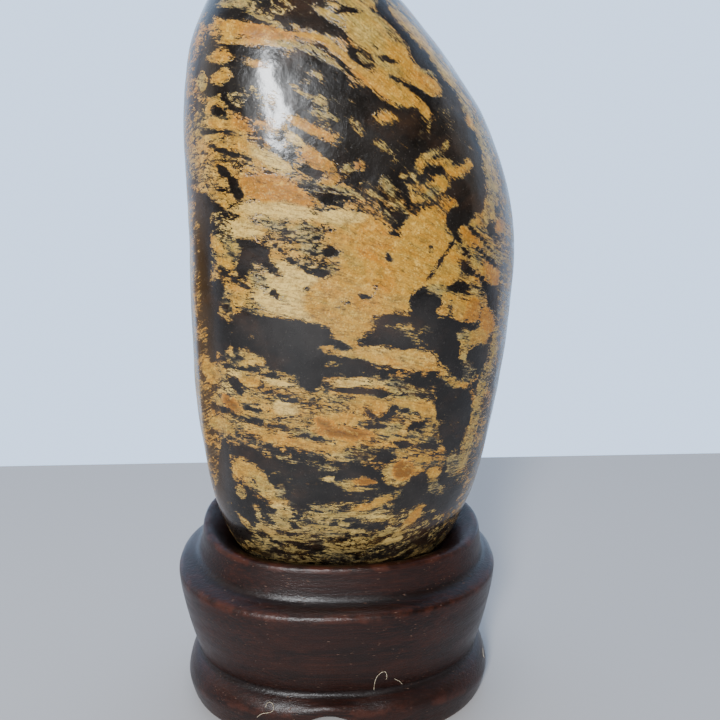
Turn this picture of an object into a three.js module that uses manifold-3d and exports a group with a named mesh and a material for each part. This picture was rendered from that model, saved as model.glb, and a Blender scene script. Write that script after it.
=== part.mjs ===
// A scholars rock: a tall river-worn pebble standing in a carved hardwood stand.
// Millimetres, +Z up, the front toward -Y, the origin on the ground under the middle of the stand.
import * as THREE from 'three';
import { mergeVertices } from 'three/addons/utils/BufferGeometryUtils.js';
import Module from 'manifold-3d';

const wasm = await Module();
wasm.setup();

// Driving dimensions of the stand. Its plan is an oval at every height. The rim is carved to the
// stone: it sits a little to the right of the bowl and rises at the left of the back.
const STAND_WIDTH = 99;
const STAND_DEPTH = 71;
const RIM_HEIGHT = 55.5;
const SHOULDER_HEIGHT = 45.3;
const WAIST_HEIGHT = 14.5;
const RIM_INSET = 6.5;
const RIM_SHIFT = 1.5;
const RIM_RISE = 3.5;
const RIM_RISE_ANGLE = (155 * Math.PI) / 180;
const WAIST_INSET = 4.4;
const STAND_SQUARENESS = 2.25;

// The dish that meets the stone, and the hollow under the stand.
const DISH_INSET = 17.5;
const DISH_HEIGHT = 51.2;
const HOLLOW_INSET = 10;
const HOLLOW_HEIGHT = 11;

// The foot ring: its outer edge is high at the front and back and low at the ends.
const FOOT_INSET = 0.6;
const FOOT_EDGE_FRONT = 11.6;
const FOOT_EDGE_END = 6.5;
const FOOT_TOE_IN = 1.4;

// The brace-shaped arch that opens the foot ring at the front and at the back.
const ARCH_CENTRE = -3.5;
const ARCH_HALF_WIDTH = 16.5;
const ARCH_PEAK = 13.4;
const ARCH_SHOULDER = 11;

// The stone: paired knots of its left and right outlines from the buried foot to the top,
// [left x, left z, right x, right z, half depth], and the clearance of its seat.
const STONE_KNOTS = [
  [0, 41.5, 0, 41.5, 0],
  [-13, 42, 14, 42, 8.5],
  [-24, 45, 26, 45, 14.5],
  [-30, 50.5, 34, 50.5, 19.5],
  [-34.5, 60, 39, 61, 24],
  [-38, 75, 43.4, 75, 27.5],
  [-40.2, 98, 47.4, 98, 30],
  [-40.2, 124, 49.8, 124, 31],
  [-39.6, 149, 49.2, 148, 30.5],
  [-39.2, 171, 42.5, 170, 29],
  [-36.8, 189, 31.5, 187, 26],
  [-31.5, 201.5, 19.5, 201, 21.5],
  [-25, 211.5, 6.5, 211.5, 15],
  [-19.5, 217.2, -3.5, 217.2, 8],
  [-11.5, 218.5, -11.5, 218.5, 0],
];
const STONE_SQUARENESS = 2.3;
const STONE_SEAT_GAP = 0.35;
const STONE_RINGS_PER_KNOT = 3;
const STONE_SIDES = 50;

const STAND_SIDES = 76;
const TURN = 2 * Math.PI;

const stoneMaterial = new THREE.MeshStandardMaterial({
  color: 0x8a6c40,
  roughness: 0.32,
  metalness: 0,
});
const woodMaterial = new THREE.MeshStandardMaterial({
  color: 0x24120c,
  roughness: 0.38,
  metalness: 0,
});

// A point of a superellipse: exponent 2 is an ellipse, and a larger one is squarer.
function ovalPoint(angle, halfWidth, halfDepth, squareness) {
  const c = Math.cos(angle);
  const s = Math.sin(angle);
  const power = 2 / squareness;
  return [
    halfWidth * Math.sign(c) * Math.abs(c) ** power,
    halfDepth * Math.sign(s) * Math.abs(s) ** power,
  ];
}

// A closed skin over a stack of rings with equal counts of points, closed by a point at each end.
function skinRings(rings, bottom, top) {
  const count = rings[0].length;
  const positions = [];
  for (const ring of rings) {
    for (const point of ring) positions.push(...point);
  }
  positions.push(...bottom, ...top);
  const bottomIndex = rings.length * count;
  const topIndex = bottomIndex + 1;
  const faces = [];
  for (let i = 0; i < count; i += 1) {
    const next = (i + 1) % count;
    faces.push(bottomIndex, next, i);
    for (let k = 0; k < rings.length - 1; k += 1) {
      const low = k * count;
      const high = low + count;
      faces.push(low + i, low + next, high + next);
      faces.push(low + i, high + next, high + i);
    }
    const last = (rings.length - 1) * count;
    faces.push(last + i, last + next, topIndex);
  }
  const geometry = new THREE.BufferGeometry();
  geometry.setAttribute('position', new THREE.Float32BufferAttribute(positions, 3));
  geometry.setIndex(faces);
  return geometry;
}

function toSolid(geometry) {
  const bare = geometry.clone();
  bare.deleteAttribute('normal');
  bare.deleteAttribute('uv');
  const merged = mergeVertices(bare, 1e-4);
  return new wasm.Manifold(new wasm.Mesh({
    numProp: 3,
    vertProperties: new Float32Array(merged.attributes.position.array),
    triVerts: new Uint32Array(merged.index.array),
  }));
}

function toGeometry(solid) {
  const mesh = solid.getMesh();
  const geometry = new THREE.BufferGeometry();
  geometry.setAttribute('position', new THREE.Float32BufferAttribute(mesh.vertProperties, 3));
  geometry.setIndex(new THREE.Uint32BufferAttribute(mesh.triVerts, 1));
  geometry.computeVertexNormals();
  return geometry;
}

// The stone's skin: smooth curves run up its left and right outlines, and each pair of points is
// joined by an oval. Slow swells keep it from looking turned, and its left end is flatter than its
// right, with a shallow groove worn along it.
function stoneGeometry(gap) {
  const left = new THREE.SplineCurve(STONE_KNOTS.map((k) => new THREE.Vector2(k[0], k[1])));
  const right = new THREE.SplineCurve(STONE_KNOTS.map((k) => new THREE.Vector2(k[2], k[3])));
  const depth = new THREE.SplineCurve(STONE_KNOTS.map((k, i) => new THREE.Vector2(i, k[4])));
  const steps = (STONE_KNOTS.length - 1) * STONE_RINGS_PER_KNOT;
  const rings = [];
  for (let k = 1; k < steps; k += 1) {
    const t = k / steps;
    const l = left.getPoint(t);
    const r = right.getPoint(t);
    const halfDepth = depth.getPoint(t).y + gap;
    const halfWidth = (r.x - l.x) / 2 + gap;
    const centre = (r.x + l.x) / 2;
    const ring = [];
    for (let i = 0; i < STONE_SIDES; i += 1) {
      const angle = (i / STONE_SIDES) * TURN;
      const flatEnd = 0.5 - 0.5 * Math.cos(angle);
      const [x, y] = ovalPoint(angle, halfWidth, halfDepth, STONE_SQUARENESS + 0.6 * flatEnd);
      const swell = 1 + 0.012 * Math.sin(2 * angle + 9 * t) + 0.008 * Math.sin(3 * angle - 14 * t);
      const groove = 0.9 * Math.exp(-(((t - 0.55) / 0.12) ** 2) - ((angle - Math.PI) / 0.25) ** 2);
      const height = l.y + (r.y - l.y) * (0.5 + x / (2 * halfWidth));
      ring.push([centre + x + groove, y * swell, height - gap * Math.cos(Math.PI * t)]);
    }
    rings.push(ring);
  }
  const foot = STONE_KNOTS[0];
  const apex = STONE_KNOTS[STONE_KNOTS.length - 1];
  return skinRings(rings, [foot[0], 0, foot[1] - gap], [apex[0], 0, apex[1] + gap]);
}

// One ring of the stand, set in from its widest oval, with its height as a function of the angle
// and its middle moved along X.
function standRing(inset, heightAt, shift = 0) {
  const ring = [];
  for (let i = 0; i < STAND_SIDES; i += 1) {
    const angle = (i / STAND_SIDES) * TURN;
    const [x, y] = ovalPoint(angle, STAND_WIDTH / 2 - inset, STAND_DEPTH / 2 - inset, STAND_SQUARENESS);
    ring.push([x + shift, y, heightAt(angle)]);
  }
  return ring;
}

function level(height) {
  return () => height;
}

// The stand's skin from the ground up: foot ring, waist, bowl, shoulder, hollow collar, rounded
// rim, and the dish that slopes in to the stone.
function standGeometry() {
  const footEdge = (angle) => {
    const front = Math.sin(angle) ** 2;
    return FOOT_EDGE_END + (FOOT_EDGE_FRONT - FOOT_EDGE_END) * front;
  };
  const footCrown = (share) => (angle) => footEdge(angle) + (WAIST_HEIGHT - footEdge(angle)) * share;
  const risen = (height, share) => (angle) => {
    const near = Math.max(0, Math.cos(angle - RIM_RISE_ANGLE));
    return height + RIM_RISE * share * near ** 2;
  };
  const rings = [
    standRing(FOOT_INSET + FOOT_TOE_IN, level(0)),
    standRing(FOOT_INSET + 0.4, (angle) => footEdge(angle) * 0.6),
    standRing(FOOT_INSET, footEdge),
    standRing(FOOT_INSET + 0.8, footCrown(0.38)),
    standRing(FOOT_INSET + 2, footCrown(0.72)),
    standRing(WAIST_INSET - 0.6, footCrown(0.95)),
    standRing(WAIST_INSET, level(WAIST_HEIGHT + 0.8)),
    standRing(WAIST_INSET - 0.9, level(18.5)),
    standRing(2.3, level(24.5)),
    standRing(1.2, level(31.5)),
    standRing(0.35, level(38.5)),
    standRing(0, level(43)),
    standRing(0, risen(SHOULDER_HEIGHT, 0.3)),
    standRing(0.5, risen(SHOULDER_HEIGHT + 1.3, 0.5)),
    standRing(1.9, risen(SHOULDER_HEIGHT + 2.3, 0.6), RIM_SHIFT * 0.2),
    standRing(3.7, risen(SHOULDER_HEIGHT + 3, 0.7), RIM_SHIFT * 0.5),
    standRing(5.1, risen(SHOULDER_HEIGHT + 4.2, 0.8), RIM_SHIFT * 0.8),
    standRing(6.2, risen(SHOULDER_HEIGHT + 6.2, 0.9), RIM_SHIFT),
    standRing(RIM_INSET + 0.3, risen(RIM_HEIGHT - 2, 1), RIM_SHIFT),
    standRing(RIM_INSET, risen(RIM_HEIGHT - 0.9, 1), RIM_SHIFT),
    standRing(RIM_INSET + 0.7, risen(RIM_HEIGHT, 1), RIM_SHIFT),
    standRing(RIM_INSET + 2.2, risen(RIM_HEIGHT - 0.4, 1), RIM_SHIFT),
    standRing(RIM_INSET + 5.5, risen(RIM_HEIGHT - 2.2, 0.6), RIM_SHIFT),
    standRing(DISH_INSET, level(DISH_HEIGHT), RIM_SHIFT),
  ];
  return skinRings(rings, [0, 0, 0], [0, 0, DISH_HEIGHT]);
}

// The hollow cut up into the underside, inside the foot ring.
function hollowGeometry() {
  const rings = [
    standRing(HOLLOW_INSET - 1, level(-1)),
    standRing(HOLLOW_INSET, level(HOLLOW_HEIGHT - 2)),
    standRing(HOLLOW_INSET + 2, level(HOLLOW_HEIGHT)),
  ];
  return skinRings(rings, [0, 0, -1], [0, 0, HOLLOW_HEIGHT]);
}

// A bar with the outline of a brace, run through the foot ring from front to back.
function archGeometry() {
  const w = ARCH_HALF_WIDTH;
  const brace = new THREE.Shape();
  brace.moveTo(-w, -1);
  brace.bezierCurveTo(-w + 0.5, 4, -w + 4, ARCH_SHOULDER - 1, -w * 0.5, ARCH_SHOULDER);
  brace.bezierCurveTo(-w * 0.25, ARCH_SHOULDER + 0.3, -2, ARCH_PEAK - 1, 0, ARCH_PEAK);
  brace.bezierCurveTo(2, ARCH_PEAK - 1, w * 0.25, ARCH_SHOULDER + 0.3, w * 0.5, ARCH_SHOULDER);
  brace.bezierCurveTo(w - 4, ARCH_SHOULDER - 1, w - 0.5, 4, w, -1);
  brace.closePath();
  const length = STAND_DEPTH + 10;
  const bar = new THREE.ExtrudeGeometry(brace, { depth: length, bevelEnabled: false, curveSegments: 9 });
  bar.rotateX(Math.PI / 2);
  bar.translate(ARCH_CENTRE, length / 2, 0);
  return bar;
}

const stone = new THREE.Mesh(stoneGeometry(0), stoneMaterial);
stone.name = 'stone';

const carved = toSolid(standGeometry())
  .subtract(toSolid(stoneGeometry(STONE_SEAT_GAP)))
  .subtract(toSolid(hollowGeometry()))
  .subtract(toSolid(archGeometry()));
const stand = new THREE.Mesh(toGeometry(carved), woodMaterial);
stand.name = 'stand';

const group = new THREE.Group();
group.add(stone);
group.add(stand);

export default group;
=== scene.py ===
import math

import bmesh
import bpy
import numpy as np
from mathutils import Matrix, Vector, noise
from mathutils.bvhtree import BVHTree


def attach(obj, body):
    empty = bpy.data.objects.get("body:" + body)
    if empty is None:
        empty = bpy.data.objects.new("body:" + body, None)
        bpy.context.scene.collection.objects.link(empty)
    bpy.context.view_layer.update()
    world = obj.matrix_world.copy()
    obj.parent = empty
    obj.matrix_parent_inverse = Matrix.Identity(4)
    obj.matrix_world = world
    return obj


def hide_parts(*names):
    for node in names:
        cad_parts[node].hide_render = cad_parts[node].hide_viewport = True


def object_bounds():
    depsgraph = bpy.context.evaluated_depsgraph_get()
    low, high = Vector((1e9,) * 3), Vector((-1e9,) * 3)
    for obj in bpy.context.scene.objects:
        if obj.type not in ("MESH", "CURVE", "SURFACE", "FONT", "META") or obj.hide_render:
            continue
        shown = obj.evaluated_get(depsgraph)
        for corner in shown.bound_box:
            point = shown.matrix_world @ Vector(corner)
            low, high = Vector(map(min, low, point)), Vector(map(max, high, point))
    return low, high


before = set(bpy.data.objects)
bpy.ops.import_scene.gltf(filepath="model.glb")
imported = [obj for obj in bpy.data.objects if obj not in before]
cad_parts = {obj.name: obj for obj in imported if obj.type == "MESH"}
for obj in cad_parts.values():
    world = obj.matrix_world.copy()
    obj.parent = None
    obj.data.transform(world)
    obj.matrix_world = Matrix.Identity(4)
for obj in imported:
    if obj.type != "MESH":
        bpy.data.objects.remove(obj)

cad_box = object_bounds()
MM = 0.001


# ---------------------------------------------------------------------------------------------
# The stand: one block of dark hardwood, hollowed to the stone's foot and carved on the outside
# with a rounded rim, a hollow collar, a shoulder, a bowl, a waist and a foot ring. It is scraped,
# oiled and waxed, and its edges are rubbed by handling.
# ---------------------------------------------------------------------------------------------
STAND_HALF_WIDTH = 49.5
STAND_HALF_DEPTH = 35.5
STAND_SQUARENESS = 2.25
STAND_SIDES = 112
SIDE_ANGLE = math.radians(360 / STAND_SIDES)
RIM_SHIFT = 1.5
RIM_RISE = 3.5
RIM_RISE_ANGLE = math.radians(155)
FOOT_EDGE_FRONT = 11.6
FOOT_EDGE_END = 6.5
WAIST_HEIGHT = 14.5
ARCH_CENTRE = -3.5
ARCH_HALF_WIDTH = 16.5
ARCH_PEAK = 10.4
ARCH_SHOULDER = 9.5
ARCH_SIDES = 96
ARCH_POINT_SPREAD = 6
ARCH_CUTTER_FLOOR = -6
ARCH_CUTTER_LENGTH = 90
SURFACE_STEP = 0.62


def select_only(thing):
    bpy.ops.object.select_all(action="DESELECT")
    thing.select_set(True)
    bpy.context.view_layer.objects.active = thing


def finish_modifiers(thing):
    select_only(thing)
    for modifier in list(thing.modifiers):
        bpy.ops.object.modifier_apply(modifier=modifier.name)


def foot_edge(angle):
    """The height of the foot's edge: low at the ends, high at the front, in a brace over the arch."""
    x = STAND_HALF_WIDTH * math.copysign(abs(math.cos(angle)) ** (2 / STAND_SQUARENESS), math.cos(angle))
    away = abs(x - ARCH_CENTRE)
    brace = 1.9 * math.exp(-(away / 5) ** 2) - 0.8 * math.exp(-((away - 13) / 4) ** 2)
    return FOOT_EDGE_END + (FOOT_EDGE_FRONT - FOOT_EDGE_END + brace) * math.sin(angle) ** 2


def foot_crown(share):
    return lambda angle: foot_edge(angle) + (WAIST_HEIGHT - foot_edge(angle)) * share


def level(height):
    return lambda angle: height


def risen(height, share):
    return lambda angle: height + RIM_RISE * share * max(0, math.cos(angle - RIM_RISE_ANGLE)) ** 2


# Each step of the carving, from the hollow's roof out, up and over the rim: the inset from the
# widest oval, the height round the ring, and the shift of its middle.
STAND_STEPS = [
    (15, level(11), 0),
    (11.8, level(10.9), 0),
    (10.4, level(9.6), 0),
    (10, level(7), 0),
    (9.3, level(0.4), 0),
    (8.8, level(0), 0),
    (2.6, level(0), 0),
    (1.9, level(0.35), 0),
    (1.0, lambda angle: foot_edge(angle) * 0.6, 0),
    (0.65, lambda angle: foot_edge(angle) * 0.93, 0),
    (0.75, lambda angle: foot_edge(angle) + 0.25, 0),
    (1.3, foot_crown(0.38), 0),
    (2.5, foot_crown(0.72), 0),
    (3.7, foot_crown(0.93), 0),
    (4.8, level(14.8), 0),
    (5.0, level(15.4), 0),
    (4.4, level(17.2), 0),
    (3.3, level(21), 0),
    (2.1, level(26.5), 0),
    (1.0, level(33), 0),
    (0.3, level(38.2), 0),
    (0.05, level(41.3), 0),
    (0.0, risen(42.8, 0.2), 0),
    (0.05, risen(43.6, 0.3), 0),
    (0.75, risen(44.3, 0.4), 0.1),
    (1.9, risen(44.8, 0.5), 0.3),
    (3.1, risen(45.15, 0.6), 0.6),
    (4.3, risen(45.5, 0.7), 0.9),
    (5.0, risen(46.2, 0.8), 1.1),
    (5.45, risen(47.3, 0.85), 1.3),
    (5.8, risen(49.1, 0.9), 1.4),
    (6.15, risen(51.1, 0.95), RIM_SHIFT),
    (6.45, risen(53, 1), RIM_SHIFT),
    (6.6, risen(54.4, 1), RIM_SHIFT),
    (6.9, risen(55.2, 1), RIM_SHIFT),
    (7.7, risen(55.5, 1), RIM_SHIFT),
    (9.2, risen(55, 0.9), RIM_SHIFT),
    (11.6, risen(53.6, 0.6), RIM_SHIFT),
    (14.1, risen(52, 0.2), 1.8),
]
# The seat goes on down from there: half width, half depth and height of each oval.
SEAT_STEPS = [
    (34.1, 21.4, 50.9),
    (33.6, 20.9, 50.2),
    (31.1, 19, 47),
    (27, 16.5, 43.6),
    (20.4, 12.9, 41),
    (10, 6, 40.7),
]
SEAT_SHIFT = 2

bpy.ops.object.select_all(action="DESELECT")
bpy.ops.mesh.primitive_circle_add(vertices=STAND_SIDES, radius=1, fill_type="NGON")
stand = bpy.context.object
stand.name = "carved_stand"


def oval_ring(vertices, side_of, half_width, half_depth, height_at, shift):
    power = 2 / STAND_SQUARENESS
    for v in vertices:
        angle = SIDE_ANGLE * v[side_of]
        c, s = math.cos(angle), math.sin(angle)
        v.co.x = (half_width * math.copysign(abs(c) ** power, c) + shift) * MM
        v.co.y = half_depth * math.copysign(abs(s) ** power, s) * MM
        v.co.z = height_at(angle) * MM


bpy.ops.object.mode_set(mode="EDIT")
shape = bmesh.from_edit_mesh(stand.data)
side_of = shape.verts.layers.int.new("side")
for v in shape.verts:
    v[side_of] = round(math.atan2(v.co.y, v.co.x) / SIDE_ANGLE) % STAND_SIDES
first_inset, first_height, _ = STAND_STEPS[0]
first_size = (STAND_HALF_WIDTH - first_inset, STAND_HALF_DEPTH - first_inset)
oval_ring(shape.verts, side_of, *first_size, first_height, 0)
bmesh.update_edit_mesh(stand.data)
bpy.ops.mesh.select_all(action="SELECT")
bpy.ops.mesh.region_to_loop()
bpy.context.tool_settings.mesh_select_mode = (False, True, False)
seat_rings = [(a, b, level(z), SEAT_SHIFT) for a, b, z in SEAT_STEPS]
side_rings = [
    (STAND_HALF_WIDTH - inset, STAND_HALF_DEPTH - inset, height, shift)
    for inset, height, shift in STAND_STEPS[1:]
]
for half_width, half_depth, height_at, shift in side_rings + seat_rings:
    bpy.ops.mesh.extrude_edges_move()
    shape = bmesh.from_edit_mesh(stand.data)
    side_of = shape.verts.layers.int["side"]
    moved = [v for v in shape.verts if v.select]
    oval_ring(moved, side_of, half_width, half_depth, height_at, shift)
    bmesh.update_edit_mesh(stand.data)
bpy.ops.mesh.edge_face_add()
bpy.ops.mesh.select_all(action="SELECT")
bpy.ops.mesh.normals_make_consistent(inside=False)
bpy.ops.object.mode_set(mode="OBJECT")
smooth = stand.modifiers.new("round", "SUBSURF")
smooth.levels = smooth.render_levels = 2

# The cutter for the arch: a low dome with a slight point, run right through from front to back.
bpy.ops.object.select_all(action="DESELECT")
bpy.ops.mesh.primitive_circle_add(vertices=ARCH_SIDES, radius=1, fill_type="NGON")
cutter = bpy.context.object
bpy.ops.object.mode_set(mode="EDIT")
shape = bmesh.from_edit_mesh(cutter.data)
for v in shape.verts:
    x = v.co.x * ARCH_HALF_WIDTH
    if v.co.y > 0:
        dome = (1 - abs(v.co.x) ** 1.7) ** 0.7
        z = ARCH_SHOULDER * dome + (ARCH_PEAK - ARCH_SHOULDER) * math.exp(-(x / ARCH_POINT_SPREAD) ** 2)
    else:
        z = ARCH_CUTTER_FLOOR
    v.co = Vector(((ARCH_CENTRE + x) * MM, -ARCH_CUTTER_LENGTH / 2 * MM, z * MM))
bmesh.update_edit_mesh(cutter.data)
bpy.ops.mesh.select_all(action="SELECT")
bpy.ops.mesh.extrude_region_move(TRANSFORM_OT_translate={"value": (0, ARCH_CUTTER_LENGTH * MM, 0)})
bpy.ops.mesh.select_all(action="SELECT")
bpy.ops.mesh.normals_make_consistent(inside=False)
bpy.ops.object.mode_set(mode="OBJECT")

carve = stand.modifiers.new("arch", "BOOLEAN")
carve.operation = "DIFFERENCE"
carve.solver = "EXACT"
carve.object = cutter
worn = stand.modifiers.new("worn", "REMESH")
worn.mode = "VOXEL"
worn.voxel_size = SURFACE_STEP * MM
rub = stand.modifiers.new("rub", "SMOOTH")
rub.factor = 0.5
rub.iterations = 4
finish_modifiers(stand)
bpy.data.objects.remove(cutter)
for polygon in stand.data.polygons:
    polygon.use_smooth = True


EDGE_REACH = 0.09


def edges_and_hollows(mesh, reach):
    """How far each point stands out from the points round it: 0 on flats, 1 on worn edges, -1 in hollows,
    which get painted shade.
    """
    count = len(mesh.vertices)
    places = np.empty(count * 3, np.float32)
    mesh.vertices.foreach_get("co", places)
    places = places.reshape(-1, 3)
    normals = np.empty(count * 3, np.float32)
    mesh.vertices.foreach_get("normal", normals)
    normals = normals.reshape(-1, 3)
    ends = np.empty(len(mesh.edges) * 2, np.int32)
    mesh.edges.foreach_get("vertices", ends)
    a, b = ends.reshape(-1, 2).T
    soft = places.copy()
    for _ in range(4):
        total = np.zeros_like(soft)
        number = np.zeros(count, np.float32)
        np.add.at(total, a, soft[b])
        np.add.at(total, b, soft[a])
        np.add.at(number, a, 1)
        np.add.at(number, b, 1)
        soft = total / np.maximum(number, 1)[:, None]
    stand_out = ((places - soft) * normals).sum(axis=1)
    return np.clip(stand_out / reach, -1, 1)


rubbed_and_hollow_shade = stand.data.attributes.new("rubbed_and_hollow_shade", "FLOAT", "POINT")
rubbed_and_hollow_shade.data.foreach_set("value", edges_and_hollows(stand.data, EDGE_REACH * MM))


class Nodes:
    """A short way to write a material's nodes."""

    def __init__(self, name):
        self.material = bpy.data.materials.new(name)
        self.material.use_nodes = True
        self.tree = self.material.node_tree
        self.shader = self.tree.nodes["Principled BSDF"]
        self.places = self.add("ShaderNodeTexCoord").outputs["Object"]

    def add(self, kind, **settings):
        node = self.tree.nodes.new(kind)
        for key, value in settings.items():
            setattr(node, key, value)
        return node

    def join(self, source, socket):
        if isinstance(source, (int, float, tuple)):
            socket.default_value = source
        else:
            self.tree.links.new(source, socket)

    def attribute(self, name, output="Fac"):
        return self.add("ShaderNodeAttribute", attribute_name=name).outputs[output]

    def stretched(self, places, scale, offset=(0, 0, 0), turn=(0, 0, 0)):
        node = self.add("ShaderNodeMapping")
        self.join(places, node.inputs["Vector"])
        node.inputs["Scale"].default_value = scale
        node.inputs["Location"].default_value = offset
        node.inputs["Rotation"].default_value = turn
        return node.outputs["Vector"]

    def noise(self, places, scale, detail=3, rough=0.5, distort=0, output="Fac"):
        node = self.add("ShaderNodeTexNoise")
        self.join(places, node.inputs["Vector"])
        node.inputs["Scale"].default_value = scale
        node.inputs["Detail"].default_value = detail
        node.inputs["Roughness"].default_value = rough
        node.inputs["Distortion"].default_value = distort
        return node.outputs[output]

    def cells(self, places, scale, output="Distance"):
        node = self.add("ShaderNodeTexVoronoi")
        self.join(places, node.inputs["Vector"])
        node.inputs["Scale"].default_value = scale
        return node.outputs[output]

    def math(self, operation, a, b=0.0, c=0.0):
        node = self.add("ShaderNodeMath", operation=operation)
        for value, socket in zip((a, b, c), node.inputs):
            self.join(value, socket)
        return node.outputs[0]

    def nudged(self, value, texture, amount):
        """A value moved up and down by a texture whose middle is a half."""
        return self.math("MULTIPLY_ADD", self.math("SUBTRACT", texture, 0.5), amount, value)

    def from_middle(self, texture):
        """How far a texture is from its middle: near 0 along thin, winding lines."""
        return self.math("ABSOLUTE", self.math("SUBTRACT", texture, 0.5))

    def spread(self, value, low, high, out_low=0.0, out_high=1.0):
        node = self.add("ShaderNodeMapRange", interpolation_type="SMOOTHSTEP")
        self.join(value, node.inputs["Value"])
        self.join(low, node.inputs["From Min"])
        self.join(high, node.inputs["From Max"])
        self.join(out_low, node.inputs["To Min"])
        self.join(out_high, node.inputs["To Max"])
        return node.outputs["Result"]

    def blend(self, share, first, second):
        node = self.add("ShaderNodeMix", data_type="RGBA")
        self.join(share, node.inputs["Factor"])
        self.join(first, node.inputs["A"])
        self.join(second, node.inputs["B"])
        return node.outputs["Result"]

    def bump(self, height, strength, distance, under=None):
        node = self.add("ShaderNodeBump")
        self.join(height, node.inputs["Height"])
        node.inputs["Strength"].default_value = strength
        node.inputs["Distance"].default_value = distance
        if under is not None:
            self.join(under, node.inputs["Normal"])
        return node.outputs["Normal"]


def tint(code):
    """A colour from its six-letter code, made linear."""
    parts = [int(code[k:k + 2], 16) / 255 for k in (0, 2, 4)]
    return tuple(((p + 0.055) / 1.055) ** 2.4 if p > 0.04 else p / 12.92 for p in parts) + (1.0,)


def waxed_hardwood():
    n = Nodes("waxed_hardwood")
    # The grain runs along the stand's width, and wanders a little.
    wave = n.noise(n.stretched(n.places, (30, 30, 60)), 1.0, 2)
    lift = n.math("MULTIPLY", wave, 0.0022)
    shifted = n.add("ShaderNodeVectorMath", operation="ADD")
    n.join(n.places, shifted.inputs[0])
    pushed = n.add("ShaderNodeCombineXYZ")
    n.join(lift, pushed.inputs["Z"])
    n.join(lift, pushed.inputs["Y"])
    n.join(pushed.outputs[0], shifted.inputs[1])
    wood = shifted.outputs[0]
    bands = n.noise(n.stretched(wood, (14, 180, 260)), 1.0, 4, 0.6)
    fibres = n.noise(n.stretched(wood, (90, 1400, 1900)), 1.0, 3, 0.6)
    pores = n.cells(n.stretched(wood, (300, 1300, 1700)), 1.0)
    pore = n.spread(pores, 0.2, 0.08)
    some = n.spread(n.noise(n.places, 260, 2), 0.5, 0.6)
    pore = n.math("MULTIPLY", pore, some)
    cloud = n.noise(n.places, 45, 3)
    colour = n.blend(n.spread(bands, 0.3, 0.7), tint("100402"), tint("230c05"))
    colour = n.blend(n.math("MULTIPLY", n.spread(fibres, 0.42, 0.72), 0.45), colour, tint("3a190d"))
    colour = n.blend(n.math("MULTIPLY", n.spread(cloud, 0.45, 0.75), 0.6), colour, tint("120806"))
    # Edges rubbed browner; hollows darkened with painted shade.
    rub = n.attribute("rubbed_and_hollow_shade")
    patchy = n.spread(n.noise(n.places, 160, 4, 0.65), 0.42, 0.62)
    bare = n.math("MULTIPLY", n.spread(rub, 0.25, 0.95), patchy)
    colour = n.blend(n.math("MULTIPLY", bare, 0.35), colour, tint("54291a"))
    # Painted shade: the hollows are darkened toward near black.
    painted_hollow_shade = n.spread(rub, -0.15, -0.8)
    colour = n.blend(n.math("MULTIPLY", painted_hollow_shade, 0.7), colour, tint("0b0504"))
    # Pale pores: the wood's own pale pores, partly also a painted glint.
    colour = n.blend(n.math("MULTIPLY", pore, 0.4), colour, tint("8a6650"))
    n.join(colour, n.shader.inputs["Base Color"])
    wipe = n.noise(n.stretched(n.places, (60, 60, 420)), 1.0, 4, 0.6)
    rough = n.spread(wipe, 0.3, 0.75, 0.32, 0.46)
    rough = n.math("ADD", rough, n.math("MULTIPLY", pore, 0.2))
    n.join(rough, n.shader.inputs["Roughness"])
    n.shader.inputs["Specular IOR Level"].default_value = 0.26
    n.shader.inputs["Coat Weight"].default_value = 0.12
    n.shader.inputs["Coat Roughness"].default_value = 0.28
    # Relief: the tool's slow waves, the open grain, the fibres and a fine tooth.
    grain = n.math("ADD", n.math("MULTIPLY", fibres, 0.55), n.math("MULTIPLY", bands, 0.35))
    grain = n.math("SUBTRACT", grain, n.math("MULTIPLY", pore, 0.5))
    tool = n.noise(n.stretched(n.places, (40, 40, 140)), 1.0, 2)
    normal = n.bump(tool, 0.35, 0.5 * MM)
    open_grain = n.noise(n.stretched(n.places, (700, 1500, 1900)), 1.0, 3, 0.7)
    normal = n.bump(open_grain, 1.0, 0.11 * MM, normal)
    normal = n.bump(grain, 0.8, 0.16 * MM, normal)
    normal = n.bump(n.noise(n.places, 2600, 2, 0.6), 0.5, 0.05 * MM, normal)
    n.join(normal, n.shader.inputs["Normal"])
    n.join(normal, n.shader.inputs["Coat Normal"])
    return n.material


stand.data.materials.clear()
stand.data.materials.append(waxed_hardwood())
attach(stand, "root")
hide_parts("stand")


# ---------------------------------------------------------------------------------------------
# The stone: a river-worn pebble of black rock, shot through with gold, cream and rust coloured
# mineral in folded beds. Water rounded it; it was then rubbed, oiled and waxed until it shone,
# and it stands in the seat by its own weight.
# ---------------------------------------------------------------------------------------------
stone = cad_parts["stone"].copy()
stone.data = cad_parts["stone"].data.copy()
bpy.context.scene.collection.objects.link(stone)
stone.name = "polished_stone"
for key in list(stone.keys()):
    del stone[key]
stone.parent = None
select_only(stone)
bpy.ops.object.mode_set(mode="EDIT")
bpy.ops.mesh.select_all(action="SELECT")
bpy.ops.mesh.remove_doubles(threshold=0.01 * MM)
bpy.ops.mesh.normals_make_consistent(inside=False)
bpy.ops.mesh.tris_convert_to_quads(face_threshold=math.radians(60), shape_threshold=math.radians(60))
bpy.ops.object.mode_set(mode="OBJECT")
swell = stone.modifiers.new("swell", "SUBSURF")
swell.levels = swell.render_levels = 2
finish_modifiers(stone)
bpy.ops.object.mode_set(mode="EDIT")
bpy.context.tool_settings.mesh_select_mode = (False, False, True)
bpy.ops.mesh.select_all(action="DESELECT")
shape = bmesh.from_edit_mesh(stone.data)
for face in shape.faces:
    face.select = face.calc_center_median().y < 0 and face.normal.z > -0.9
bmesh.update_edit_mesh(stone.data)
bpy.ops.mesh.subdivide(number_cuts=1, smoothness=0)
bpy.ops.object.mode_set(mode="OBJECT")
for polygon in stone.data.polygons:
    polygon.use_smooth = True

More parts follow.
